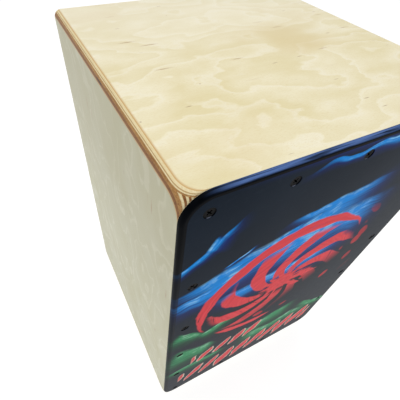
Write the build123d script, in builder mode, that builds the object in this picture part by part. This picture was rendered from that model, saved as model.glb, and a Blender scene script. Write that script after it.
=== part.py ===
from build123d import *
import math
import os

# Box-shaped hand drum (cajon) with a screwed-on playing face and a tunable string snare inside.
# Millimetres. X runs left to right, Y from the playing face to the back, Z up.
# The origin is at floor level under the middle of the drum.

# ---- overall sizes ----
BODY_W = 300.0
BODY_D = 300.0
BODY_H = 480.0
FOOT_H = 12.0
TAPA_T = 4.0

FRONT_Y = TAPA_T - (BODY_D + TAPA_T) / 2
TAPA_Y = FRONT_Y - TAPA_T
BACK_Y = FRONT_Y + BODY_D
FLOOR_Z = FOOT_H
TOP_Z = FOOT_H + BODY_H
MID_Y = (FRONT_Y + BACK_Y) / 2
MID_Z = (FLOOR_Z + TOP_Z) / 2

# ---- plywood box ----
PANEL_T = 12.0
LIP_T = 3.0
TOP_R = 8.0
BOTTOM_R = 2.0
CORNER_R = 22.0
FLARE_D = 16.0
FLARE_STEPS = (0.0, 0.015, 0.04, 0.08, 0.13, 0.2, 0.28, 0.38, 0.5, 0.65, 0.82, 1.0)
WASTE = 3.0
BACK_T = 5.0
BACK_RABBET_W = 6.0
SOUND_HOLE_R = 58.0
SOUND_HOLE_Z = FLOOR_Z + 300.0
SOUND_HOLE_EDGE_R = 1.5

# ---- front frame and playing face ----
BATTEN = 18.0
TAPA_EDGE_R = 3.0
SCREW_SIDE_X = 133.5
SCREW_TOP_Z = TOP_Z - 17.0
SCREW_BOTTOM_Z = FLOOR_Z + 17.0
SCREW_CORNER_INSET = 2.5
SIDE_SCREW_GAPS = 5
TOP_SCREW_X = (-67.0, 0.0, 67.0)
BOTTOM_SCREW_X = (-44.0, 44.0)
SCREW_SINK_R = 4.7
SCREW_HEAD_R = 4.15
SCREW_SHANK_R = 1.9
SCREW_LENGTH = 18.0
SCREW_SUNK = 0.55
DRIVE_R = 2.3
DRIVE_SLOT_W = 1.1
DRIVE_DEPTH = 1.7
FIT = 0.05

# ---- feet ----
FOOT_X = BODY_W / 2 - 32.0
FOOT_INSET_Y = 32.0
FOOT_R_LOW = 15.0
FOOT_R_HIGH = 18.0
FOOT_BORE_R = 2.4
FOOT_POCKET_R = 7.5
FOOT_POCKET_H = 6.0
FOOT_WASHER_R = 6.5
FOOT_WASHER_T = 1.2
FOOT_SCREW_R = 2.1
FOOT_SCREW_HEAD_R = 4.2
FOOT_SCREW_HEAD_H = 2.6
FOOT_SCREW_IN_WOOD = 9.0

# ---- string snare ----
TAPA_BACK_Y = FRONT_Y
STRING_R = 0.45
STRING_CONTACT_Y = TAPA_BACK_Y + STRING_R + 0.3
BALL_R = 2.0
BALL_Y = TAPA_BACK_Y + 4.0
BAR_Y0 = TAPA_BACK_Y + 8.0
BAR_DEPTH = 18.0
BAR_Z0 = FLOOR_Z + 366.0
BAR_HEIGHT = 48.0
BAR_HALF_W = BODY_W / 2 - PANEL_T - BATTEN
BRIDGE_Z0 = BAR_Z0 + 4.0
BRIDGE_H = 6.0
BRIDGE_HALF_W = 100.0
CLAMP_Z0 = BAR_Z0 + 26.0
CLAMP_H = 14.0
CLAMP_T = 2.0
CLAMP_HALF_W = 96.0
CLAMP_SCREW_X = (-86.0, -34.0, 34.0, 86.0)
STRING_TOP_X = (-74.0, -58.0, 58.0, 74.0)
STRING_BOTTOM_X = (-37.0, -23.0, 23.0, 37.0)
STRING_TOP_Z = CLAMP_Z0 + CLAMP_H + 6.0

TENSIONER_X = 30.0
TENSION_TRAVEL = 4.0
BATTEN_TOP_Z = FLOOR_Z + PANEL_T + BATTEN
CARRIAGE_HALF_W = 12.0
CARRIAGE_Y0 = TAPA_BACK_Y + 0.8
CARRIAGE_Y1 = TAPA_BACK_Y + 14.8
CARRIAGE_Z0 = BATTEN_TOP_Z + 2.0 + 6.0
CARRIAGE_H = 16.0
TENSION_SCREW_Y = TAPA_BACK_Y + 9.0
TENSION_SCREW_R = 3.0
TENSION_SCREW_TOP = CARRIAGE_Z0 + CARRIAGE_H + 7.0
TENSION_HOLE_R = 3.3
THREAD_FIT = 0.05
COUNTERBORE_R = 7.5
COUNTERBORE_H = 8.0
CAP_HEAD_R = 5.0
CAP_HEAD_H = 6.0
HEX_KEY = 5.0
HEX_DEPTH = 3.0
TENSION_WASHER_R = 6.0
TENSION_WASHER_T = 1.2
GUIDE_T = 1.5
GUIDE_GAP = 0.3
GUIDE_H = 26.0
GUIDE_FOOT_W = 9.0
GUIDE_SCREW_R = 1.6
GUIDE_SCREW_HEAD_R = 3.0
GUIDE_SCREW_HEAD_H = 1.6
GUIDE_SCREW_LENGTH = 12.0

OUT = "parts"
os.makedirs(OUT, exist_ok=True)


def save(part, name):
    part.label = name
    export_step(part, os.path.join(OUT, name + ".step"))


def box_between(x0, x1, y0, y1, z0, z1, mode=Mode.ADD):
    with Locations(((x0 + x1) / 2, (y0 + y1) / 2, (z0 + z1) / 2)):
        Box(x1 - x0, y1 - y0, z1 - z0, mode=mode)


def rod(x, y, z0, z1, r, mode=Mode.ADD):
    with Locations((x, y, (z0 + z1) / 2)):
        Cylinder(r, z1 - z0, mode=mode)


def hole(x, y, z0, z1, r):
    rod(x, y, z0, z1, r, mode=Mode.SUBTRACT)


def rod_along_y(x, z, y0, y1, r, mode=Mode.ADD):
    with Locations(Location((x, (y0 + y1) / 2, z), (90, 0, 0))):
        Cylinder(r, y1 - y0, mode=mode)


def cone_along_y(x, z, y0, y1, r0, r1, mode=Mode.ADD):
    with Locations(Location((x, (y0 + y1) / 2, z), (-90, 0, 0))):
        Cone(r0, r1, y1 - y0, mode=mode)


def corner_waste(y, side, end, r):
    """What is cut off one long corner of the box at depth y, leaving a corner of radius r."""
    w = BODY_W / 2
    h = BODY_H / 2
    start_angle = {(1, 1): 0, (-1, 1): 90, (-1, -1): 180, (1, -1): 270}[(side, end)]
    with BuildSketch(Plane(origin=(0, y, MID_Z), x_dir=(1, 0, 0), z_dir=(0, -1, 0))) as front_view:
        with BuildLine():
            CenterArc((side * (w - r), end * (h - r)), r, start_angle, 90)
            Polyline(
                (side * w, end * (h - r)),
                (side * (w + WASTE), end * (h - r)),
                (side * (w + WASTE), end * (h + WASTE)),
                (side * (w - r), end * (h + WASTE)),
                (side * (w - r), end * h),
            )
        make_face()
    return front_view.sketch.face()


# ---- long corners of the box: they open out to the playing face's corner radius at the front ----
corner_cuts = {-1: [], 1: []}
for end, edge_r in ((1, TOP_R), (-1, BOTTOM_R)):
    for side in (-1, 1):
        sections = [corner_waste(FRONT_Y - WASTE, side, end, CORNER_R)]
        for step in FLARE_STEPS:
            swell = 1 - math.sqrt(1 - (1 - step) ** 2)
            r = edge_r + (CORNER_R - edge_r) * swell
            sections.append(corner_waste(FRONT_Y + step * FLARE_D, side, end, r))
        with BuildPart() as cut:
            loft(sections=sections, ruled=True)
            extrude(to_extrude=sections[-1], amount=BODY_D - FLARE_D + WASTE, dir=(0, 1, 0))
        corner_cuts[end].append(cut.part)


def round_corners(ends):
    for end in ends:
        for waste in corner_cuts[end]:
            add(waste, mode=Mode.SUBTRACT)


def back_rabbet():
    box_between(
        -BODY_W / 2 + BACK_RABBET_W,
        BODY_W / 2 - BACK_RABBET_W,
        BACK_Y - BACK_T,
        BACK_Y + 5,
        FLOOR_Z + BACK_RABBET_W,
        TOP_Z - BACK_RABBET_W,
        mode=Mode.SUBTRACT,
    )


# ---- plywood panels ----
with BuildPart() as top_panel:
    box_between(-BODY_W / 2, BODY_W / 2, FRONT_Y, BACK_Y, TOP_Z - PANEL_T, TOP_Z)
    for side in (-1, 1):
        x0, x1 = sorted((side * (BODY_W / 2 - PANEL_T), side * (BODY_W / 2 + WASTE)))
        z0 = TOP_Z - PANEL_T - WASTE
        z1 = TOP_Z - LIP_T
        box_between(x0, x1, FRONT_Y - WASTE, BACK_Y + WASTE, z0, z1, mode=Mode.SUBTRACT)
    back_rabbet()
    round_corners((1,))
save(top_panel.part, "top_panel")

with BuildPart() as bottom_panel:
    box_between(-BODY_W / 2, BODY_W / 2, FRONT_Y, BACK_Y, FLOOR_Z, FLOOR_Z + PANEL_T)
    for side in (-1, 1):
        x0, x1 = sorted((side * (BODY_W / 2 - PANEL_T), side * (BODY_W / 2 + WASTE)))
        z0 = FLOOR_Z + LIP_T
        z1 = FLOOR_Z + PANEL_T + WASTE
        box_between(x0, x1, FRONT_Y - WASTE, BACK_Y + WASTE, z0, z1, mode=Mode.SUBTRACT)
        hole(side * TENSIONER_X, TENSION_SCREW_Y, FLOOR_Z - 1, FLOOR_Z + PANEL_T + 1, TENSION_HOLE_R)
        hole(side * TENSIONER_X, TENSION_SCREW_Y, FLOOR_Z - 1, FLOOR_Z + COUNTERBORE_H, COUNTERBORE_R)
        for y in (FRONT_Y + FOOT_INSET_Y, BACK_Y - FOOT_INSET_Y):
            hole(side * FOOT_X, y, FLOOR_Z - 1, FLOOR_Z + FOOT_SCREW_IN_WOOD + 0.3, FOOT_SCREW_R + FIT)
    back_rabbet()
    round_corners((-1,))
save(bottom_panel.part, "bottom_panel")

for side, word in ((-1, "left"), (1, "right")):
    x0, x1 = sorted((side * (BODY_W / 2 - PANEL_T), side * BODY_W / 2))
    with BuildPart() as side_panel:
        box_between(x0, x1, FRONT_Y, BACK_Y, FLOOR_Z + LIP_T, TOP_Z - LIP_T)
        back_rabbet()
        round_corners((-1, 1))
    save(side_panel.part, word + "_side_panel")

with BuildPart() as back_panel:
    box_between(
        -BODY_W / 2 + BACK_RABBET_W,
        BODY_W / 2 - BACK_RABBET_W,
        BACK_Y - BACK_T,
        BACK_Y,
        FLOOR_Z + BACK_RABBET_W,
        TOP_Z - BACK_RABBET_W,
    )
    rod_along_y(0, SOUND_HOLE_Z, BACK_Y - BACK_T - 1, BACK_Y + 1, SOUND_HOLE_R, Mode.SUBTRACT)
    hole_rims = back_panel.edges().filter_by(GeomType.CIRCLE)
    fillet(hole_rims, radius=SOUND_HOLE_EDGE_R)
save(back_panel.part, "back_panel")

# ---- screw places on the playing face ----
screw_places = []
for side in (-1, 1):
    corner_x = side * (SCREW_SIDE_X - SCREW_CORNER_INSET)
    screw_places.append((corner_x, SCREW_TOP_Z))
    screw_places.append((corner_x, SCREW_BOTTOM_Z))
    for i in range(1, SIDE_SCREW_GAPS):
        z = SCREW_TOP_Z + (SCREW_BOTTOM_Z - SCREW_TOP_Z) * i / SIDE_SCREW_GAPS
        screw_places.append((side * SCREW_SIDE_X, z))
screw_places += [(x, SCREW_TOP_Z) for x in TOP_SCREW_X]
screw_places += [(x, SCREW_BOTTOM_Z) for x in BOTTOM_SCREW_X]

SCREW_HEAD_Y = TAPA_Y + SCREW_SUNK
CONE_END_Y = SCREW_HEAD_Y + SCREW_HEAD_R - SCREW_SHANK_R
SCREW_TIP_Y = SCREW_HEAD_Y + SCREW_LENGTH


def pilot_holes():
    for x, z in screw_places:
        rod_along_y(x, z, TAPA_Y - 1, SCREW_TIP_Y + 0.5, SCREW_SHANK_R + FIT, Mode.SUBTRACT)


with BuildPart() as tapa:
    with BuildSketch(Plane(origin=(0, FRONT_Y, MID_Z), x_dir=(1, 0, 0), z_dir=(0, -1, 0))):
        RectangleRounded(BODY_W, BODY_H, CORNER_R)
    extrude(amount=TAPA_T)
    fillet(tapa.edges().group_by(Axis.Y)[0], radius=TAPA_EDGE_R)
    for x, z in screw_places:
        cone_along_y(x, z, TAPA_Y - 0.01, CONE_END_Y, SCREW_SINK_R, SCREW_SHANK_R + FIT, Mode.SUBTRACT)
    pilot_holes()
save(tapa.part, "tapa")

with BuildPart() as tapa_screws:
    for x, z in screw_places:
        head_r = SCREW_HEAD_R - FIT
        cone_along_y(x, z, SCREW_HEAD_Y, CONE_END_Y, head_r, SCREW_SHANK_R)
        rod_along_y(x, z, CONE_END_Y - 0.1, SCREW_TIP_Y - 4, SCREW_SHANK_R)
        cone_along_y(x, z, SCREW_TIP_Y - 4, SCREW_TIP_Y, SCREW_SHANK_R, 0.3)
        for turn in (0, 90):
            with Locations(Location((x, SCREW_HEAD_Y + DRIVE_DEPTH / 2 - 0.01, z), (0, turn + 45, 0))):
                Box(2 * DRIVE_R, DRIVE_DEPTH, DRIVE_SLOT_W, mode=Mode.SUBTRACT)
save(tapa_screws.part, "tapa_screws")

# ---- front frame glued inside the box, behind the playing face ----
IN_X = BODY_W / 2 - PANEL_T
IN_Z0 = FLOOR_Z + PANEL_T
IN_Z1 = TOP_Z - PANEL_T

guide_screw_x = []
for side in (-1, 1):
    for end in (-1, 1):
        offset = CARRIAGE_HALF_W + GUIDE_GAP + GUIDE_T + GUIDE_FOOT_W / 2
        guide_screw_x.append(side * TENSIONER_X + end * offset)

with BuildPart() as top_batten:
    box_between(-IN_X, IN_X, FRONT_Y, FRONT_Y + BATTEN, IN_Z1 - BATTEN, IN_Z1)
    pilot_holes()
save(top_batten.part, "front_top_batten")

with BuildPart() as bottom_batten:
    box_between(-IN_X, IN_X, FRONT_Y, FRONT_Y + BATTEN, IN_Z0, IN_Z0 + BATTEN)
    pilot_holes()
    for side in (-1, 1):
        x = side * TENSIONER_X
        hole(x, TENSION_SCREW_Y, IN_Z0 - 1, BATTEN_TOP_Z + 1, TENSION_HOLE_R)
    for x in guide_screw_x:
        hole(x, TENSION_SCREW_Y, BATTEN_TOP_Z - 11, BATTEN_TOP_Z + 1, GUIDE_SCREW_R + FIT)
save(bottom_batten.part, "front_bottom_batten")

for side, word in ((-1, "left"), (1, "right")):
    x0, x1 = sorted((side * IN_X, side * (IN_X - BATTEN)))
    with BuildPart() as side_batten:
        box_between(x0, x1, FRONT_Y, FRONT_Y + BATTEN, IN_Z0 + BATTEN, IN_Z1 - BATTEN)
        pilot_holes()
    save(side_batten.part, "front_" + word + "_batten")

# ---- feet with their washers and screws ----
foot_places = {
    "front_left_foot": (-FOOT_X, FRONT_Y + FOOT_INSET_Y),
    "front_right_foot": (FOOT_X, FRONT_Y + FOOT_INSET_Y),
    "back_left_foot": (-FOOT_X, BACK_Y - FOOT_INSET_Y),
    "back_right_foot": (FOOT_X, BACK_Y - FOOT_INSET_Y),
}
for name, (x, y) in foot_places.items():
    with BuildPart() as foot:
        with Locations((x, y, FOOT_H / 2)):
            Cone(FOOT_R_LOW, FOOT_R_HIGH, FOOT_H)
        fillet(foot.edges().group_by(Axis.Z)[0], radius=1.2)
        hole(x, y, -1, FOOT_POCKET_H, FOOT_POCKET_R)
        hole(x, y, -1, FOOT_H + 1, FOOT_BORE_R)
    save(foot.part, name)

with BuildPart() as foot_washers:
    for x, y in foot_places.values():
        rod(x, y, FOOT_POCKET_H - FOOT_WASHER_T, FOOT_POCKET_H, FOOT_WASHER_R)
        hole(x, y, 0, FOOT_H, FOOT_BORE_R)
save(foot_washers.part, "foot_washers")

with BuildPart() as foot_screws:
    for x, y in foot_places.values():
        seat_z = FOOT_POCKET_H - FOOT_WASHER_T
        rod(x, y, seat_z - FOOT_SCREW_HEAD_H, seat_z, FOOT_SCREW_HEAD_R)
        rod(x, y, seat_z - 0.1, FLOOR_Z + FOOT_SCREW_IN_WOOD, FOOT_SCREW_R)
        for turn in (45, 135):
            with Locations(Location((x, y, seat_z - FOOT_SCREW_HEAD_H), (0, 0, turn))):
                Box(2 * DRIVE_R, DRIVE_SLOT_W, 2 * DRIVE_DEPTH, mode=Mode.SUBTRACT)
save(foot_screws.part, "foot_screws")

# ---- snare: bar, bridge and clamp that hold the upper ends of the strings ----
BAR_Y1 = BAR_Y0 + BAR_DEPTH
CLAMP_Y1 = BAR_Y0 - 2 * STRING_R
CLAMP_Y0 = CLAMP_Y1 - CLAMP_T
CLAMP_MID_Z = CLAMP_Z0 + CLAMP_H / 2

with BuildPart() as snare_bar:
    box_between(-BAR_HALF_W, BAR_HALF_W, BAR_Y0, BAR_Y1, BAR_Z0, BAR_Z0 + BAR_HEIGHT)
    for x in CLAMP_SCREW_X:
        rod_along_y(x, CLAMP_MID_Z, BAR_Y0 - 1, BAR_Y0 + 12.5, 1.5 + FIT, Mode.SUBTRACT)
save(snare_bar.part, "snare_bar")

BRIDGE_NOSE_Y = STRING_CONTACT_Y + STRING_R + FIT
with BuildPart() as snare_bridge:
    box_between(-BRIDGE_HALF_W, BRIDGE_HALF_W, BRIDGE_NOSE_Y, BAR_Y0, BRIDGE_Z0, BRIDGE_Z0 + BRIDGE_H)
    nose_edges = snare_bridge.edges().filter_by(Axis.X).group_by(Axis.Y)[0]
    fillet(nose_edges, radius=BRIDGE_H / 2 - 0.2)
save(snare_bridge.part, "snare_bridge")

with BuildPart() as clamp_bar:
    box_between(-CLAMP_HALF_W, CLAMP_HALF_W, CLAMP_Y0, CLAMP_Y1, CLAMP_Z0, CLAMP_Z0 + CLAMP_H)
    fillet(clamp_bar.edges().filter_by(Axis.Y), radius=2.0)
    for x in CLAMP_SCREW_X:
        rod_along_y(x, CLAMP_MID_Z, CLAMP_Y0 - 1, CLAMP_Y1 + 1, 1.7, Mode.SUBTRACT)
save(clamp_bar.part, "string_clamp_bar")

with BuildPart() as clamp_screws:
    for x in CLAMP_SCREW_X:
        rod_along_y(x, CLAMP_MID_Z, CLAMP_Y0 - 2.0, CLAMP_Y0, 3.0)
        rod_along_y(x, CLAMP_MID_Z, CLAMP_Y0 - 0.1, BAR_Y0 + 12, 1.5)
        for turn in (45, 135):
            with Locations(Location((x, CLAMP_Y0 - 2.0, CLAMP_MID_Z), (0, turn, 0))):
                Box(3.2, 2.0, 0.8, mode=Mode.SUBTRACT)
save(clamp_screws.part, "clamp_bar_screws")

# ---- snare: tensioners at the bottom ----
CARRIAGE_TOP_Z = CARRIAGE_Z0 + CARRIAGE_H
BALL_POCKET_R = 2.3
STRING_LEAN = 0.6
STRING_SLOT_R = 1.4
BALL_Z = CARRIAGE_Z0 + 4.2 - BALL_R

for side, word in ((-1, "left"), (1, "right")):
    cx = side * TENSIONER_X
    with BuildPart() as carriage:
        x0 = cx - CARRIAGE_HALF_W
        x1 = cx + CARRIAGE_HALF_W
        box_between(x0, x1, CARRIAGE_Y0, CARRIAGE_Y1, CARRIAGE_Z0, CARRIAGE_TOP_Z)
        chamfer(carriage.edges().filter_by(Axis.Z), length=0.8)
        thread_r = TENSION_SCREW_R + THREAD_FIT
        hole(cx, TENSION_SCREW_Y, CARRIAGE_Z0 - 1, CARRIAGE_TOP_Z + 1, thread_r)
        for x in STRING_BOTTOM_X:
            if x * side > 0:
                hole(x, BALL_Y, CARRIAGE_Z0 - 1, CARRIAGE_Z0 + 5, BALL_POCKET_R)
                slot_x = x + side * STRING_LEAN
                hole(slot_x, BALL_Y, CARRIAGE_Z0, CARRIAGE_TOP_Z + 1, STRING_SLOT_R)
    save(carriage.part, word + "_string_carriage")

    with BuildPart() as tension_screw:
        head_top = FLOOR_Z + COUNTERBORE_H - TENSION_WASHER_T - 0.1
        rod(cx, TENSION_SCREW_Y, head_top - CAP_HEAD_H, head_top, CAP_HEAD_R)
        chamfer(tension_screw.edges().group_by(Axis.Z)[0], length=0.5)
        rod(cx, TENSION_SCREW_Y, head_top - 0.1, TENSION_SCREW_TOP, TENSION_SCREW_R)
        chamfer(tension_screw.edges().group_by(Axis.Z)[-1], length=0.6)
        with BuildSketch(Plane.XY.offset(head_top - CAP_HEAD_H)):
            with Locations((cx, TENSION_SCREW_Y)):
                RegularPolygon(HEX_KEY / 2, 6, major_radius=False)
        extrude(amount=HEX_DEPTH, mode=Mode.SUBTRACT)
    save(tension_screw.part, word + "_tension_screw")

    with BuildPart() as guide:
        out_x = CARRIAGE_HALF_W + GUIDE_GAP + GUIDE_T
        back_y = CARRIAGE_Y1 + GUIDE_GAP + GUIDE_T
        guide_y0 = CARRIAGE_Y0 + 4.0
        box_between(
            cx - out_x, cx + out_x, guide_y0, back_y, BATTEN_TOP_Z, BATTEN_TOP_Z + GUIDE_H
        )
        box_between(
            cx - out_x + GUIDE_T,
            cx + out_x - GUIDE_T,
            guide_y0 - 1,
            back_y - GUIDE_T,
            BATTEN_TOP_Z - 1,
            BATTEN_TOP_Z + GUIDE_H + 1,
            mode=Mode.SUBTRACT,
        )
        for end in (-1, 1):
            xa, xb = sorted((cx + end * (out_x - 0.2), cx + end * (out_x + GUIDE_FOOT_W)))
            box_between(xa, xb, guide_y0, back_y, BATTEN_TOP_Z, BATTEN_TOP_Z + GUIDE_T)
            hole_x = cx + end * (out_x + GUIDE_FOOT_W / 2)
            hole(hole_x, TENSION_SCREW_Y, BATTEN_TOP_Z - 1, BATTEN_TOP_Z + 3, GUIDE_SCREW_R + 0.2)
    save(guide.part, word + "_carriage_guide")

with BuildPart() as guide_screws:
    for x in guide_screw_x:
        z = BATTEN_TOP_Z + GUIDE_T
        rod(x, TENSION_SCREW_Y, z, z + GUIDE_SCREW_HEAD_H, GUIDE_SCREW_HEAD_R)
        rod(x, TENSION_SCREW_Y, z - GUIDE_SCREW_LENGTH, z + 0.1, GUIDE_SCREW_R)
save(guide_screws.part, "guide_screws")

with BuildPart() as tension_washers:
    for side in (-1, 1):
        x = side * TENSIONER_X
        z = FLOOR_Z + COUNTERBORE_H
        rod(x, TENSION_SCREW_Y, z - TENSION_WASHER_T, z, TENSION_WASHER_R)
        hole(x, TENSION_SCREW_Y, z - 5, z + 5, TENSION_HOLE_R)
save(tension_washers.part, "tension_washers")

# ---- strings: ball end in the carriage, over the bridge, under the clamp bar ----
for number in range(4):
    x0 = STRING_BOTTOM_X[number]
    x1 = STRING_TOP_X[number]
    ball = Vector(x0, BALL_Y, BALL_Z)
    bridge = Vector(x1, STRING_CONTACT_Y, BRIDGE_Z0 + BRIDGE_H + 0.5)
    clamp = Vector(x1, BAR_Y0 - STRING_R, CLAMP_Z0)
    end = Vector(x1, BAR_Y0 - STRING_R, STRING_TOP_Z)
    with BuildPart() as string:
        with BuildLine():
            Polyline(ball, bridge, clamp, end)
        with BuildSketch(Plane(origin=ball, z_dir=bridge - ball)):
            Circle(STRING_R)
        sweep(transition=Transition.RIGHT)
        with Locations(ball):
            Sphere(BALL_R)
    save(string.part, "snare_string_" + str(number + 1))
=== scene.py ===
import math

import bpy
from mathutils import Matrix, Vector


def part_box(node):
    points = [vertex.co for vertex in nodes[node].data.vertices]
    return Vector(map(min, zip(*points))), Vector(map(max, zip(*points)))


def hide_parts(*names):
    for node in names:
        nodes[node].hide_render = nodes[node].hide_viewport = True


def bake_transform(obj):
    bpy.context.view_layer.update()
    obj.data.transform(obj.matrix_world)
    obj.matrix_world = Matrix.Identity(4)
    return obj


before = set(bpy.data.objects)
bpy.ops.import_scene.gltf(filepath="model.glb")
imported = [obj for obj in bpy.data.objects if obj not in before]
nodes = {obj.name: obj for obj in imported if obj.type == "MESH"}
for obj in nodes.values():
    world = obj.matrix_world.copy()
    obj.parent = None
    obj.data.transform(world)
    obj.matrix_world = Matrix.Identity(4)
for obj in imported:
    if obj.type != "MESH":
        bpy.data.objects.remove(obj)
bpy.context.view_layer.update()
scene = bpy.context.scene

MM = 1000.0


# ---------------------------------------------------------------- node helpers
class V:
    """A shader value that can be used in arithmetic, each step of which adds a Math node."""

    def __init__(self, tree, socket):
        self.tree = tree
        self.socket = socket

    def __add__(self, other):
        return op(self.tree, "ADD", self, other)

    __radd__ = __add__

    def __sub__(self, other):
        return op(self.tree, "SUBTRACT", self, other)

    def __rsub__(self, other):
        return op(self.tree, "SUBTRACT", other, self)

    def __mul__(self, other):
        return op(self.tree, "MULTIPLY", self, other)

    __rmul__ = __mul__

    def __truediv__(self, other):
        return op(self.tree, "DIVIDE", self, other)

    def __abs__(self):
        return op(self.tree, "ABSOLUTE", self)


def feed(tree, value, target):
    if isinstance(value, V):
        tree.links.new(value.socket, target)
    elif isinstance(value, (tuple, list)) and len(value) == 3 and target.type == "RGBA":
        target.default_value = (*value, 1.0)
    else:
        target.default_value = value


def op(tree, name, *args):
    node = tree.nodes.new("ShaderNodeMath")
    node.operation = name
    for i, arg in enumerate(args):
        feed(tree, arg, node.inputs[i])
    return V(tree, node.outputs[0])


def smooth(low, high, value):
    """0 below low, 1 above high, smooth between; high may be under low."""
    tree = value.tree
    node = tree.nodes.new("ShaderNodeMapRange")
    node.interpolation_type = "SMOOTHSTEP"
    feed(tree, value, node.inputs["Value"])
    if high >= low:
        a, b, c, d = low, high, 0.0, 1.0
    else:
        a, b, c, d = high, low, 1.0, 0.0
    for key, v in (("From Min", a), ("From Max", b), ("To Min", c), ("To Max", d)):
        node.inputs[key].default_value = v
    return V(tree, node.outputs["Result"])


def either(a, b):
    return op(a.tree, "MAXIMUM", a, b)


def fract(a):
    return op(a.tree, "FRACT", a)


def hyp(a, b):
    return op(a.tree, "SQRT", a * a + b * b)


def vec(tree, x, y, z):
    node = tree.nodes.new("ShaderNodeCombineXYZ")
    for i, part in enumerate((x, y, z)):
        feed(tree, part, node.inputs[i])
    return V(tree, node.outputs[0])


def noise(x, y, z, detail=2.0, rough=0.5):
    tree = x.tree
    node = tree.nodes.new("ShaderNodeTexNoise")
    feed(tree, vec(tree, x, y, z), node.inputs["Vector"])
    node.inputs["Scale"].default_value = 1.0
    node.inputs["Detail"].default_value = detail
    node.inputs["Roughness"].default_value = rough
    return V(tree, node.outputs["Fac"])


def cells(x, y, z):
    """Distance to the nearest of a scatter of points, and that point's own random number."""
    tree = x.tree
    node = tree.nodes.new("ShaderNodeTexVoronoi")
    feed(tree, vec(tree, x, y, z), node.inputs["Vector"])
    node.inputs["Scale"].default_value = 1.0
    split = tree.nodes.new("ShaderNodeSeparateColor")
    tree.links.new(node.outputs["Color"], split.inputs[0])
    return V(tree, node.outputs["Distance"]), V(tree, split.outputs[0])


def mix(fac, a, b):
    tree = fac.tree if isinstance(fac, V) else (a.tree if isinstance(a, V) else b.tree)
    node = tree.nodes.new("ShaderNodeMix")
    node.data_type = "RGBA"
    feed(tree, fac, node.inputs[0])
    feed(tree, a, node.inputs[6])
    feed(tree, b, node.inputs[7])
    return V(tree, node.outputs[2])


def srgb(r, g, b):
    def lin(c):
        c /= 255.0
        return c / 12.92 if c <= 0.04045 else ((c + 0.055) / 1.055) ** 2.4

    return (lin(r), lin(g), lin(b))


class Paint:
    """A new material with its coordinates in millimetres of the row frame."""

    def __init__(self, name):
        self.material = bpy.data.materials.new(name)
        self.material.use_nodes = True
        self.tree = self.material.node_tree
        self.shader = self.tree.nodes["Principled BSDF"]
        coord = self.tree.nodes.new("ShaderNodeTexCoord")
        split = self.tree.nodes.new("ShaderNodeSeparateXYZ")
        self.tree.links.new(coord.outputs["Object"], split.inputs[0])
        self.x, self.y, self.z = (V(self.tree, split.outputs[i]) * MM for i in range(3))
        geometry = self.tree.nodes.new("ShaderNodeNewGeometry")
        split_n = self.tree.nodes.new("ShaderNodeSeparateXYZ")
        self.tree.links.new(geometry.outputs["Normal"], split_n.inputs[0])
        self.nx, self.ny, self.nz = (V(self.tree, split_n.outputs[i]) for i in range(3))

    def set(self, **values):
        """Feeds the shader's sockets, an underscore standing for the space in a socket's name."""
        for key, value in values.items():
            feed(self.tree, value, self.shader.inputs[key.replace("_", " ")])

    def bump(self, height, distance_mm, strength=1.0):
        node = self.tree.nodes.new("ShaderNodeBump")
        node.inputs["Strength"].default_value = strength
        node.inputs["Distance"].default_value = distance_mm / MM
        feed(self.tree, height, node.inputs["Height"])
        self.tree.links.new(node.outputs[0], self.shader.inputs["Normal"])

    def on(self, *names):
        """Gives the material to these CAD nodes."""
        for name in names:
            for slot in nodes[name].material_slots:
                slot.material = self.material


# ---------------------------------------------------------------- sizes and tones
# the body without its feet, in mm, from the frame
body_low, body_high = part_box("left_side_panel")
right_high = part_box("right_side_panel")[1]
top_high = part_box("top_panel")[1]
bottom_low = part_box("bottom_panel")[0]
back_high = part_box("back_panel")[1]
tapa_low, tapa_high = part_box("tapa")
WIDTH = (right_high[0] - body_low[0]) * MM
TOP = top_high[2] * MM
BOTTOM = bottom_low[2] * MM
FACE_Y = tapa_low[1] * MM
FACE_T = (tapa_high[1] - tapa_low[1]) * MM
LIP = (top_high[2] - body_high[2]) * MM
# sizes that part.py gives and the frame doesn't list
CORNER_R = 22.0
PANEL_T = 12.0
BACK_T = 5.0
INNER_VENEER = 0.6

LIGHT_VENEER = srgb(249, 242, 213)
MID_VENEER = srgb(233, 221, 174)
WARM_VENEER = srgb(226, 206, 152)
BLEACHED = srgb(252, 248, 232)
TOP_SKIN = (LIGHT_VENEER, MID_VENEER, WARM_VENEER)
# painted shade: the sides get a darker, greener copy of the top's veneer tones
SHADED_SIDE_SKIN = (srgb(204, 203, 175), srgb(194, 190, 152), srgb(188, 184, 140))
LONG_PLY = srgb(232, 214, 164)
RIM_VENEER = srgb(206, 164, 96)
# the brown and umber tones are partly the plies' own colour and partly painted shade of the round-overs
PLY_TONES = {
    "pale": (srgb(222, 200, 146), srgb(243, 229, 188)),
    "tan": (srgb(176, 134, 78), srgb(206, 170, 112)),
    "orange": (srgb(196, 150, 78), srgb(222, 184, 116)),
    "brown": (srgb(128, 80, 26), srgb(196, 150, 88)),
    "umber": (srgb(98, 56, 10), srgb(156, 100, 38)),
}
GLUE = srgb(120, 76, 34)


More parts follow.
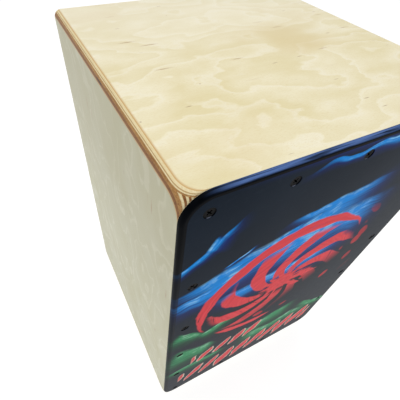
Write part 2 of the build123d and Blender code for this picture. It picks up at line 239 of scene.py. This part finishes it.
# ---------------------------------------------------------------- birch plywood
def birch(p, depth, thickness, u, v, plies, seed, skin=TOP_SKIN, contrast=1.0, fade=None, rows=0.0):
    """Plywood whose veneers are found from the depth under the outer face.

    u runs along the face grain and v across it in the face. skin is the veneer's light, middle and warm
    tone, and contrast scales its figure. fade is a share and the tone it brings in, and rows adds growth
    lines across the grain.
    """
    # rotary-cut figure: terraces of a slow field, each with a pale edge where the next one starts
    light, mid, warm = skin
    warp = noise(u * 0.018 + seed, v * 0.026, seed * 3.1, detail=4.0, rough=0.62)
    field = noise(u * 0.0062 + warp * 0.34, v * 0.0105 + seed, seed, detail=3.0, rough=0.52)
    ripple = noise(u * 0.05, v * 0.16, seed + 4.0, detail=2.0)
    steps = fract(field * 11.0 + ripple * 0.34 + v * 0.004 + rows)
    figure = smooth(0.0, 0.85, steps) * smooth(1.0, 0.93, steps)
    pale_edge = smooth(0.0, 0.05, steps) * smooth(0.22, 0.05, steps)
    fibre = noise(u * 0.10, v * 1.8, seed + 1.0, detail=3.0, rough=0.6)
    fleck = noise(u * 0.45, v * 2.6, seed + 2.0, detail=2.0, rough=0.7)
    broad = noise(u * 0.009, v * 0.013, seed + 7.0, detail=3.0)
    patch = smooth(0.38, 0.62, noise(u * 0.014, v * 0.026, seed + 9.0, detail=4.0, rough=0.6))
    tone = (figure * 0.42 + patch * 0.42 + fibre * 0.34 - 0.16) * contrast
    face = mix(tone, light, mid)
    face = mix(pale_edge * (0.30 * contrast), face, BLEACHED)
    face = mix(smooth(0.50, 0.75, broad) * 0.6, face, warm)
    face = mix(smooth(0.48, 0.78, fleck) * (0.55 * contrast), face, warm)
    if fade is not None:
        face = mix(fade[0], face, fade[1])
    # pin knots and short gum streaks
    gap, dice = cells(u * 0.013 + warp * 0.3, v * 0.13, seed)
    streak = smooth(0.16, 0.03, gap) * smooth(0.70, 0.74, dice) * smooth(0.36, 0.52, fibre)
    gap2, dice2 = cells(u * 0.030 + 7.0, v * 0.24, seed + 5.0)
    line = smooth(0.12, 0.03, gap2) * smooth(0.82, 0.86, dice2)
    gap3, dice3 = cells(u * 0.05, v * 0.05, seed + 8.0)
    knot = smooth(0.055, 0.02, gap3) * smooth(0.86, 0.88, dice3)
    face = mix(streak * 0.7, face, srgb(158, 104, 40))
    face = mix(line * 0.7, face, srgb(134, 84, 30))
    face = mix(knot * 0.4, face, srgb(150, 108, 60))

    # veneers under the face: each ply has its own tone where it is cut, the brown and umber ones with
    # painted shade in it
    speck = noise(p.x * 1.6, p.y * 0.5, p.z * 1.6, detail=3.0, rough=0.7)
    streaks = noise(p.x * 0.9, p.y * 0.05, p.z * 0.9, detail=3.0, rough=0.65)
    cut = mix(streaks, LONG_PLY, srgb(240, 224, 180))
    pore = smooth(0.3, 0.75, speck * 0.6 + streaks * 0.5)
    edge = None
    gap, dice = cells(p.x * 0.45, p.y * 0.028, p.z * 0.45 + seed)
    void = smooth(0.30, 0.16, gap) * smooth(0.86, 0.88, dice)
    for low, high, tone in plies:
        inside = smooth(low - 0.06, low + 0.06, depth) * smooth(high + 0.06, high - 0.06, depth)
        dark, light = PLY_TONES[tone]
        ply = mix(pore, dark, light)
        if tone in ("brown", "umber"):
            ply = mix(void, ply, srgb(58, 36, 24))
        cut = mix(inside, cut, ply)
        rim = smooth(0.13, 0.02, abs(depth - high))
        edge = rim if edge is None else either(edge, rim)
    cut = mix(edge * 0.5, cut, GLUE)
    inner = thickness - depth
    veneer = plies[0][0]
    veneered = either(
        smooth(veneer + 0.05, veneer - 0.08, depth),
        smooth(INNER_VENEER, INNER_VENEER - 0.1, inner),
    )
    # the outer veneer is sanded thin, and tan, where the round-over starts
    sanded = smooth(0.015, veneer * 0.9, depth) * smooth(INNER_VENEER, 1.0, inner)
    worn = mix(sanded, face, RIM_VENEER)
    colour = mix(veneered, cut, worn)
    p.set(Base_Color=colour, Roughness=0.42 + fleck * 0.16)
    p.set(Specular_IOR_Level=0.42, Coat_Weight=0.18, Coat_Roughness=0.3)
    p.bump(fibre * 0.5 + fleck * 0.5 - (streak + line) * 0.2 - edge * 0.3, 0.05)
    return p


def plywood(name, axis, outer, sign, thickness, grain, seed, plies, fade=None, rows=None, **more):
    """axis is the panel's thin direction; outer is its outer face, and sign points from it to the inside.

    fade is a direction, where it starts and ends, its share and its tone. rows is where the growth lines
    start and end across the grain, and how many they are.
    """
    p = Paint("plywood_" + name)
    place = {"x": p.x, "y": p.y, "z": p.z}
    depth = (place[axis] - outer) * sign
    cross = [a for a in "xyz" if a not in (axis, grain)][0]
    if fade is not None:
        direction, low, high, most, tone = fade
        more["fade"] = (smooth(low, high, place[direction]) * most, tone)
    if rows is not None:
        low, high, count = rows
        more["rows"] = smooth(low, high, place[cross]) * count
    birch(p, depth, thickness, place[grain], place[cross], plies, seed, **more)
    p.on(name)
    return p


def ply_stack(first, step, tones, total):
    """Plies under a face veneer that is first mm thick; the list of tones repeats through the panel."""
    stack = []
    low = first
    while low < total - 0.6:
        stack.append((low, min(low + step, total), tones[len(stack) % len(tones)]))
        low += step
    return stack


SIDE_PLIES = [(0.22, 1.1, "umber"), (1.1, 3.1, "brown")]
SIDE_PLIES += ply_stack(2.9, 1.3, ("pale", "umber", "pale", "umber", "pale", "tan"), PANEL_T)
# painted shade: the sides turn darker towards the top
SIDE_SHADE_TO_TOP = ("z", 200, 480, 0.38, srgb(158, 150, 112))
TOP_PLIES = [
    (0.62, 1.5, "pale"),
    (1.5, 1.75, "orange"),
    (1.75, 2.35, "pale"),
    (2.35, LIP + 0.1, "brown"),
]
TOP_PLIES += ply_stack(LIP + 0.1, 1.25, ("tan", "pale"), PANEL_T)
BOTTOM_PLIES = ply_stack(0.45, 1.25, ("pale", "tan"), PANEL_T)
BACK_PLIES = ply_stack(0.4, 1.05, ("pale", "tan"), BACK_T)
SIDE_LOOK = {"fade": SIDE_SHADE_TO_TOP, "skin": SHADED_SIDE_SKIN, "contrast": 0.75}
TOP_LOOK = {"fade": ("y", -60, 150, 0.45, BLEACHED), "rows": (-20, -160, 4.0)}
plywood("top_panel", "z", TOP, -1, PANEL_T, "x", 1.7, TOP_PLIES, **TOP_LOOK)
plywood("bottom_panel", "z", BOTTOM, 1, PANEL_T, "x", 5.1, BOTTOM_PLIES)
plywood("left_side_panel", "x", -WIDTH / 2, 1, PANEL_T, "z", 9.3, SIDE_PLIES, **SIDE_LOOK)
plywood("right_side_panel", "x", WIDTH / 2, -1, PANEL_T, "z", 13.9, SIDE_PLIES, **SIDE_LOOK)
plywood("back_panel", "y", back_high[1] * MM, -1, BACK_T, "z", 21.3, BACK_PLIES)


# ---------------------------------------------------------------- playing face with its printed pattern
WHIRL_ARMS = 9.0
WHIRL_CENTRE = (-12.0, 282.0)


def bristles(along, across, seed):
    """Streaks that run along a brush stroke, from 0 to 1."""
    return noise(along * 0.018, across * 0.35, seed, detail=4.0, rough=0.65)


def stroke(u, v, start, end, w0, w1, seed, wobble=6.0, dry=0.5):
    """Mask and heat of one brush stroke from start to end, w0 and w1 being its half widths there.

    The heat is 1 along the sharp edge, and falls through the soft side.
    """
    dx = end[0] - start[0]
    dz = end[1] - start[1]
    length = math.hypot(dx, dz)
    cx, cz = dx / length, dz / length
    bend = (noise(u * 0.02, v * 0.02, seed, detail=2.0) - 0.5) * wobble * 2.0
    a = (u - start[0]) * cx + (v - start[1]) * cz
    b = (v - start[1]) * cx - (u - start[0]) * cz + bend
    t = a / length
    half = t * (w1 - w0) + w0
    side = b / half
    # one sharp bright edge, and a long soft fade away from it
    glow = smooth(1.12, 0.8, side) * smooth(-1.9, 0.7, side)
    ends = smooth(-0.12, 0.22, t + bend * 0.004) * smooth(1.12, 0.7, t + bend * 0.004)
    hair = bristles(a, b, seed)
    worn = smooth(0.24, 0.24 + 0.5 * dry, hair + glow * 0.45 - 0.14)
    heat = smooth(-0.9, 0.85, side) * ends * smooth(0.15, 0.75, hair + 0.1)
    return glow * ends * worn, heat


def art(p):
    """The printed pattern: brushed flames, a swept whirl and two rows of dabs, placed in mm."""
    u, v = p.x, p.z - BOTTOM
    wash = noise(u * 0.012, v * 0.012, 3.0, detail=4.0, rough=0.6)
    fine = noise(u * 0.14, v * 0.14, 9.0, detail=3.0, rough=0.7)
    fleck = noise(u * 0.06, v * 0.06, 5.0, detail=3.0, rough=0.6)
    colour = mix(wash, srgb(6, 20, 34), srgb(26, 38, 52))
    colour = mix(smooth(0.5, 0.8, fine) * 0.2, colour, srgb(44, 54, 66))

    def lay(colour, mask, hair, dark, light, white=None):
        tint = mix(smooth(0.1, 0.75, hair), dark, light)
        if white is not None:
            tint = mix(smooth(0.62, 0.98, hair) * smooth(0.42, 0.62, fleck) * 0.7, tint, white)
        return mix(mask, colour, tint)

    deep_blue, bright_blue, ice = srgb(10, 40, 116), srgb(0, 142, 232), srgb(172, 230, 255)
    blues = (
        ((-96, 477), (150, 479), 4, 9, 10.0, 3, 0.3),
        ((-50, 466), (60, 466), 4, 7, 11.0, 14, 0.6),
        ((-154, 392), (-98, 440), 5, 6, 12.0, 10, 0.4),
        ((-120, 414), (-112, 430), 10, 9, 13.0, 4, 0.5),
        ((-106, 380), (-76, 394), 2, 3, 14.0, 8, 0.7),
        ((-50, 402), (60, 410), 6, 14, 15.0, 10, 0.5),
        ((-60, 388), (-28, 398), 3, 4, 22.0, 6, 0.5),
        ((-154, 346), (60, 390), 13, 42, 16.0, 10, 0.4),
        ((-154, 326), (-40, 350), 16, 32, 17.0, 16, 0.5),
        ((-70, 344), (90, 356), 42, 42, 18.0, 16, 0.4),
        ((-104, 302), (60, 308), 20, 24, 20.0, 14, 0.6),
    )
    for start, end, w0, w1, seed, wobble, dry in blues:
        mask, hair = stroke(u, v, start, end, w0, w1, seed, wobble, dry)
        colour = lay(colour, mask, hair, deep_blue, bright_blue, ice)
    deep_green, leaf, mint = srgb(18, 84, 54), srgb(52, 152, 98), srgb(178, 230, 200)
    greens = (
        ((-152, 256), (-112, 224), 18, 12, 31.0, 14, 0.5),
        ((-110, 220), (-60, 240), 14, 12, 33.0, 12, 0.6),
        ((-154, 172), (-84, 150), 40, 26, 34.0, 18, 0.4),
        ((-152, 108), (-50, 102), 14, 14, 35.0, 12, 0.5),
        ((-30, 120), (64, 156), 34, 22, 36.0, 18, 0.4),
        ((-30, 92), (124, 96), 26, 22, 37.0, 16, 0.4),
        ((70, 130), (150, 84), 14, 16, 39.0, 14, 0.6),
    )
    for start, end, w0, w1, seed, wobble, dry in greens:
        mask, hair = stroke(u, v, start, end, w0, w1, seed, wobble, dry)
        colour = lay(colour, mask, hair, deep_green, leaf, mint)

    # broken rings swept round with a broad brush, and a blot that spatters outwards
    red, bright_red, dark_red = srgb(208, 44, 56), srgb(238, 74, 82), srgb(120, 26, 36)
    cx, cz = WHIRL_CENTRE
    bend = (noise(u * 0.03, v * 0.03, 41.0, detail=3.0) - 0.5) * 12.0
    r = hyp(u - cx, v - cz) + bend
    angle = op(p.tree, "ARCTAN2", v - cz, u - cx)
    sweep = noise(angle * 0.9, r * 0.22, 42.0, detail=4.0, rough=0.65)
    drift = noise(angle * 1.7, 0.0, 43.0, detail=1.0)
    for radius, half, centre, reach in ((104.0, 9.0, 2.1, 1.5), (99.0, 6.0, -1.9, 0.55)):
        turn = abs(op(p.tree, "WRAP", angle - centre, math.pi, -math.pi))
        taper = smooth(reach, reach * 0.4, turn)
        ring = smooth(half, half * 0.75, abs(r - radius) + (1.0 - taper) * half * 0.8)
        ring = ring * smooth(reach, reach - 0.15, turn) * smooth(0.26, 0.38, sweep)
        colour = lay(colour, ring, sweep, red, bright_red)
    sway = (noise(angle * 1.4, r * 0.02, 44.0) - 0.5) * 0.35
    whirl = fract((angle + r * 0.013) * (WHIRL_ARMS / (2 * math.pi)) + sway)
    arm = smooth(0.30, 0.24, abs(whirl - 0.5) + (r - 60.0) * 0.0012)
    arm = arm * smooth(20.0, 30.0, r) * smooth(96.0, 84.0, r + (drift - 0.5) * 46.0)
    arm = arm * smooth(0.30, 0.40, sweep) * smooth(-1.15, -0.35, (v - cz - (u - cx) * 0.9) / 80.0)
    colour = lay(colour, arm, sweep, red, bright_red)
    drips = noise(angle * 3.6, r * 0.012, 51.0, detail=2.0)
    blot = smooth(3.0, -3.0, r - 18.0 - smooth(0.45, 0.8, drips) * 44.0)
    colour = lay(colour, blot, sweep, red, bright_red)
    spray, dice = cells(angle * 2.6, r * 0.045, 61.0)
    flecks = smooth(0.30, 0.22, spray) * smooth(0.40, 0.45, dice)
    flecks = flecks * smooth(34.0, 44.0, r) * smooth(150.0, 96.0, r)
    lower_right = smooth(-0.2, 0.5, (u - cx) / 90.0 - (v - cz) / 110.0)
    colour = lay(colour, flecks * lower_right, sweep, dark_red, red)

    # two rows of short leaning dabs with pale rims
    dab_rows = (
        (142.0, 0.10, 8.0, 25.0, 21.0, -112.0, 0.0),
        (62.0, 0.06, 9.0, 29.0, 30.0, -128.0, 128.0),
    )
    for row, (z0, rise, dab_w, pitch, tall, x_low, x_high) in enumerate(dab_rows):
        lean = u - (v - z0) * 0.42 + (noise(u * 0.04, v * 0.04, 71.0 + row) - 0.5) * 14.0
        cell = op(p.tree, "FLOOR", lean / pitch)
        local = (fract(lean / pitch) - 0.5) * pitch
        jitter = noise(cell * 3.7, cell * 1.9, 5.0 + row) - 0.5
        height = (v - z0 - u * rise + jitter * 26.0) / (tall + jitter * 22.0)
        width = (1.0 - height * height) * dab_w * (1.0 + jitter * 0.9)
        d = abs(local + height * jitter * 14.0) - op(p.tree, "MAXIMUM", width, 0.0)
        span = smooth(x_low - 2, x_low + 2, u) * smooth(x_high + 2, x_high - 2, u)
        live = span * smooth(1.0, 0.94, abs(height))
        hair = bristles(v, u, 75.0 + row)
        colour = mix(live * smooth(2.4, 0.6, d), colour, srgb(226, 214, 196))
        colour = lay(colour, live * smooth(0.3, -0.8, d), hair, red, bright_red)
    return colour, fine


RIM_BAND = 5.0
face = Paint("printed_playing_face")
printed, fine = art(face)
depth = face.y - FACE_Y
# the rounded rim is stained black, and a pale blue-grey highlight is painted on its upward-facing run
middle = (TOP + BOTTOM) / 2
over_x = op(face.tree, "MAXIMUM", abs(face.x) - (WIDTH / 2 - CORNER_R), 0.0)
over_z = op(face.tree, "MAXIMUM", abs(face.z - middle) - ((TOP - BOTTOM) / 2 - CORNER_R), 0.0)
outline = hyp(over_x, over_z) - CORNER_R
rim = smooth(-RIM_BAND, -RIM_BAND + 0.6, outline)
# the stain is full near the top, and lets half of the print through lower down
high = smooth(300.0, 430.0, face.z - BOTTOM)
colour = mix(rim * (high * 0.5 + 0.5), printed, mix(fine, srgb(1, 2, 4), srgb(8, 11, 16)))
# painted highlight: pale blue-grey on the upward-facing rim, away from the left corner, broken into
# streaks
painted_rim_highlight = smooth(0.30, 0.75, face.nz) * rim * smooth(-WIDTH / 2 + 12.0, -WIDTH / 2 + 44.0, face.x)
streak = smooth(0.25, 0.65, noise(face.x * 0.03, face.y * 0.8, 3.0, detail=3.0))
colour = mix(painted_rim_highlight * streak * 0.85, colour, srgb(96, 128, 192))
# the countersinks are painted black as the shade in their recess, with a painted glint on the
# upward-facing lower lip of the upper ones
sink = smooth(0.08, 0.25, depth) * smooth(-RIM_BAND, -RIM_BAND - 1.0, outline)
colour = mix(sink, colour, srgb(2, 2, 3))
# painted glint: pale blue-white on the lower lip of the upper countersinks
colour = mix(sink * smooth(0.6, 0.85, face.nz) * high * 0.8, colour, srgb(176, 186, 214))
back_face = smooth(FACE_T - 0.2, FACE_T - 0.02, depth)
raw = mix(noise(face.x * 1.8, face.y, face.z * 0.08, detail=3.0), LIGHT_VENEER, MID_VENEER)
colour = mix(back_face, colour, raw)
face.set(Base_Color=colour, Roughness=0.34 + fine * 0.10, Specular_IOR_Level=0.02)
face.bump(fine * 0.3 + noise(face.x * 0.9, face.y, face.z * 0.05, detail=2.0) * 0.7, 0.03)
face.on("tapa")


# ---------------------------------------------------------------- timber inside, metal, rubber
def timber(name, grain, light, dark, *names, seed=0.0):
    p = Paint(name)
    place = {"x": p.x, "y": p.y, "z": p.z}
    along = place.pop(grain)
    a, b = place.values()
    ring = hyp(a * 0.8 + noise(along * 0.01, a * 0.02, seed) * 10.0, b + 30.0)
    bands = smooth(0.1, 0.9, fract(ring * 0.28))
    fibre = noise(along * 0.05, a * 1.4, b * 1.4, detail=3.0, rough=0.6)
    p.set(Base_Color=mix(bands * 0.6 + fibre * 0.35, light, dark), Roughness=0.55 + fibre * 0.2)
    p.bump(fibre + bands * 0.4, 0.08)
    p.on(*names)


PINE = (srgb(226, 188, 128), srgb(186, 134, 76))
timber("pine_across", "x", *PINE, "front_top_batten", "front_bottom_batten", "snare_bar", seed=2.0)
timber("pine_upright", "z", *PINE, "front_left_batten", "front_right_batten", seed=6.0)
timber("beech_across", "x", srgb(206, 158, 112), srgb(176, 120, 76), "snare_bridge", seed=9.0)


def metal(name, light, dark, rough, *names, bright=1.0):
    p = Paint(name)
    grain = noise(p.x * 0.9, p.y * 0.9, p.z * 6.0, detail=3.0, rough=0.6)
    patch = noise(p.x * 0.08, p.y * 0.08, p.z * 0.08, detail=2.0)
    p.set(Base_Color=mix(patch * 0.6 + grain * 0.3, light, dark), Roughness=grain * 0.15 + rough)
    p.set(Metallic=bright)
    p.bump(grain, 0.02)
    p.on(*names)
    return p


metal(
    "zinc_plated_steel",
    srgb(205, 207, 208),
    srgb(150, 152, 150),
    0.26,
    "foot_washers",
    "foot_screws",
    "string_clamp_bar",
    "clamp_bar_screws",
    "left_tension_screw",
    "right_tension_screw",
    "left_carriage_guide",
    "right_carriage_guide",
    "guide_screws",
    "tension_washers",
)
metal(
    "machined_brass",
    srgb(214, 178, 98),
    srgb(170, 128, 60),
    0.24,
    "left_string_carriage",
    "right_string_carriage",
)
black = metal("black_oxide_steel", srgb(8, 8, 9), srgb(2, 2, 3), 0.4, "tapa_screws", bright=0.0)
black.set(Specular_IOR_Level=0.05)


# ---------------------------------------------------------------- snare strings, wound from two wires
STRING_R = 0.45
BALL_R = 2.0
BALL_FROM_BACK = 4.0
BALL_SIDES = 20
BALL_PROFILE = (
    (-1.72, 0.9),
    (-1.5, 1.28),
    (-0.75, 1.78),
    (-0.5, 1.45),
    (0.5, 1.45),
    (0.75, 1.78),
    (1.5, 1.28),
    (1.72, 0.9),
)
BEND_ABOVE_BRIDGE = 0.5
WIRE_SIDES = 8
RING_GAP = 0.5
LAY_STEP = math.radians(40.0)
steel = metal("string_steel", srgb(214, 214, 210), srgb(158, 156, 150), 0.22)


def string_path(name):
    """The corners of the string's centre line, ball end first, in mm."""
    low, high = (Vector(c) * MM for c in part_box(name))
    side = 1 if low.x > 0 else -1
    if side > 0:
        ball_x, top_x = low.x + BALL_R, high.x - STRING_R
    else:
        ball_x, top_x = high.x - BALL_R, low.x + STRING_R
    bridge_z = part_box("snare_bridge")[1][2] * MM + BEND_ABOVE_BRIDGE
    clamp_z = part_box("string_clamp_bar")[0][2] * MM
    return [
        Vector((ball_x, high.y - BALL_FROM_BACK, low.z + BALL_R)),
        Vector((top_x, low.y + STRING_R, bridge_z)),
        Vector((top_x, high.y - STRING_R, clamp_z)),
        Vector((top_x, high.y - STRING_R, high.z)),
    ]


def ring(verts, centre, along, radii, turn):
    """Adds one cross-section of a tube, with a radius for each of its corners."""
    across = along.cross(Vector((0, 1, 0))).normalized()
    other = along.cross(across).normalized()
    for k, radius in enumerate(radii):
        a = 2 * math.pi * k / len(radii) + turn
        verts.append((centre + (across * math.cos(a) + other * math.sin(a)) * radius) / MM)


def skin_rings(faces, first, count, sides):
    """Joins count rings of corners into a closed tube."""
    for i in range(count - 1):
        for k in range(sides):
            a = first + i * sides + k
            b = first + i * sides + (k + 1) % sides
            faces.append((a, b, b + sides, a + sides))
    faces.append(tuple(first + k for k in reversed(range(sides))))
    faces.append(tuple(first + (count - 1) * sides + k for k in range(sides)))


def wound_string(name):
    """Two wires laid together from the ball end to the clamp, and the turned ball end."""
    path = string_path(name)
    verts, faces = [], []
    lobes = []
    for k in range(WIRE_SIDES):
        lobes.append(STRING_R * (0.66 + 0.32 * abs(math.cos(2 * math.pi * k / WIRE_SIDES))))
    rings, turn = 0, 0.0
    for a, b in zip(path, path[1:]):
        steps = max(2, round((b - a).length / RING_GAP))
        for i in range(steps + (b is path[-1])):
            ring(verts, a.lerp(b, i / steps), (b - a).normalized(), lobes, turn)
            rings += 1
            turn += LAY_STEP
    skin_rings(faces, 0, rings, WIRE_SIDES)
    # turned ball end with a groove round its waist
    first = len(verts)
    for z, radius in BALL_PROFILE:
        ring(verts, path[0] + Vector((0, 0, z)), Vector((0, 0, 1)), [radius] * BALL_SIDES, 0.0)
    skin_rings(faces, first, len(BALL_PROFILE), BALL_SIDES)
    mesh = bpy.data.meshes.new("wound_" + name)
    mesh.from_pydata(verts, [], faces)
    mesh.polygons.foreach_set("use_smooth", [True] * len(mesh.polygons))
    piece = bpy.data.objects.new("wound_" + name, mesh)
    scene.collection.objects.link(piece)
    mesh.materials.append(steel.material)
    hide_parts(name)
    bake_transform(piece)


for number, body in enumerate(("left_carriage", "left_carriage", "right_carriage", "right_carriage")):
    wound_string("snare_string_" + str(number + 1))


rubber = Paint("black_rubber")
grit = noise(rubber.x * 1.2, rubber.y * 1.2, rubber.z * 1.2, detail=4.0, rough=0.7)
dust = noise(rubber.x * 0.06, rubber.y * 0.06, rubber.z * 0.06, detail=2.0)
rubber.set(Base_Color=mix(dust * 0.5 + grit * 0.3, srgb(24, 24, 24), srgb(58, 57, 55)))
rubber.set(Roughness=0.66 + grit * 0.2)
rubber.bump(grit, 0.12)
rubber.on("front_left_foot", "front_right_foot", "back_left_foot", "back_right_foot")


# ---------------------------------------------------------------- floor, light, camera
def flat_plane(name, size, z):
    mesh = bpy.data.meshes.new(name)
    h = size / 2
    mesh.from_pydata([(-h, -h, z), (h, -h, z), (h, h, z), (-h, h, z)], [], [(0, 1, 2, 3)])
    obj = bpy.data.objects.new(name, mesh)
    scene.collection.objects.link(obj)
    return obj


FLOOR_SIZE = 30.0
FLOOR_ALBEDO = 0.35
FLOOR_GLOW = 0.82
floor = flat_plane("studio_floor", FLOOR_SIZE, 0.0)
floor_paint = Paint("pale_floor")
floor_paint.set(Base_Color=(FLOOR_ALBEDO,) * 3, Roughness=0.9, Specular_IOR_Level=0.1)
floor_paint.set(Emission_Color=(1.0, 1.0, 1.0), Emission_Strength=FLOOR_GLOW)
floor.data.materials.append(floor_paint.material)

WORLD_STRENGTH = 0.40
world = bpy.data.worlds.new("studio")
scene.world = world
world.use_nodes = True
world.node_tree.nodes["Background"].inputs[0].default_value = (1.0, 1.0, 1.0, 1.0)
world.node_tree.nodes["Background"].inputs[1].default_value = WORLD_STRENGTH


def softbox(name, place, aim, size, power, colour=(1.0, 1.0, 1.0)):
    light = bpy.data.lights.new(name, "AREA")
    light.shape = "RECTANGLE"
    light.size, light.size_y = size
    light.energy = power
    light.color = colour
    obj = bpy.data.objects.new(name, light)
    scene.collection.objects.link(obj)
    obj.location = place
    obj.rotation_euler = (Vector(aim) - Vector(place)).to_track_quat("-Z", "Y").to_euler()
    return obj


OVERHEAD_WATTS = 36.0
LEFT_WATTS = 1.5
WARM_WHITE = (1.0, 0.98, 0.94)
softbox("overhead_softbox", (0.0, 0.2, 2.6), (0.0, 0.0, 0.4), (2.4, 2.4), OVERHEAD_WATTS, WARM_WHITE)
softbox("left_softbox", (-2.2, -0.6, 1.2), (0.0, 0.0, 0.3), (1.6, 1.6), LEFT_WATTS)

# fitted to the straight edges in the photograph, with the box at its CAD size
SENSOR_MM = 36.0
LENS_MM = 28.297
SHIFT_X = 0.0644
SHIFT_Y = 0.0029
CAMERA_PLACE = (-0.205048, -0.242869, 0.612942)
RIGHT = (0.896179, -0.441688, 0.042138)
UP = (0.305130, 0.682469, 0.664178)
BACK = (-0.322117, -0.582364, 0.746386)
camera_data = bpy.data.cameras.new("camera")
camera_data.sensor_width = SENSOR_MM
camera_data.lens = LENS_MM
camera_data.shift_x = SHIFT_X
camera_data.shift_y = SHIFT_Y
camera_data.clip_start = 0.02
camera = bpy.data.objects.new("camera", camera_data)
scene.collection.objects.link(camera)
turn = Matrix((RIGHT, UP, BACK)).transposed().to_4x4()
camera.matrix_world = Matrix.Translation(CAMERA_PLACE) @ turn
scene.camera = camera
scene.view_settings.view_transform = "Standard"
scene.view_settings.look = "None"
